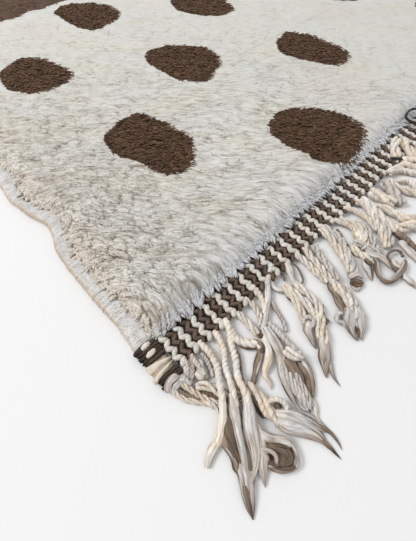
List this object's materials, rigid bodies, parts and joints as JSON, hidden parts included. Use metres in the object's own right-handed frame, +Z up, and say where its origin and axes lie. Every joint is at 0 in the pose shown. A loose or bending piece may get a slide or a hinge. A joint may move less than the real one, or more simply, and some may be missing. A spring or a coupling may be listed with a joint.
{
  "type": "shag rug",
  "caption": "Thick cream wool shag rug with brown spots, wrapped edges, brown and cream twined end bands and a corded fringe, lying flat.",
  "frame": {"origin": "centre of the bounding box's footprint, on the floor plane under the rug", "axes": "+Z up out of the pile, +Y along the rug away from the fringe, +X across it"},
  "size_m": [1.5516, 2.491, 0.0249],
  "materials": {
    "cream_pile": "soft cut wool pile, cream, with brown spots and a brown middle section knotted in the same pile",
    "brown_pile": "soft cut wool pile, undyed dark brown",
    "cream_wrap": "fine cream wool wound over a cord",
    "brown_wrap": "brown wool wound over a cord",
    "two_tone_band": "twined wool in cream and brown columns",
    "cream_cord": "two-ply twisted wool cord, cream",
    "ground_weave": "plain wool ground weave with knot backs"
  },
  "bodies": {
    "root": {"pile_field": "cream_pile", "selvedge_left": "cream_wrap", "selvedge_right": "cream_wrap", "end_band_front": "two_tone_band", "end_band_back": "two_tone_band", "corner_front_left_brown_inner": "brown_wrap", "corner_front_left_cream_inner": "cream_wrap", "corner_front_left_brown_outer": "brown_wrap", "corner_front_left_cream_outer": "cream_wrap", "corner_front_right_brown_inner": "brown_wrap", "corner_front_right_cream_inner": "cream_wrap", "corner_front_right_brown_outer": "brown_wrap", "corner_front_right_cream_outer": "cream_wrap", "corner_back_left_brown_inner": "brown_wrap", "corner_back_left_cream_inner": "cream_wrap", "corner_back_left_brown_outer": "brown_wrap", "corner_back_left_cream_outer": "cream_wrap", "corner_back_right_brown_inner": "brown_wrap", "corner_back_right_cream_inner": "cream_wrap", "corner_back_right_brown_outer": "brown_wrap", "corner_back_right_cream_outer": "cream_wrap", "fringe": "cream_cord"}
  },
  "joints": []
}
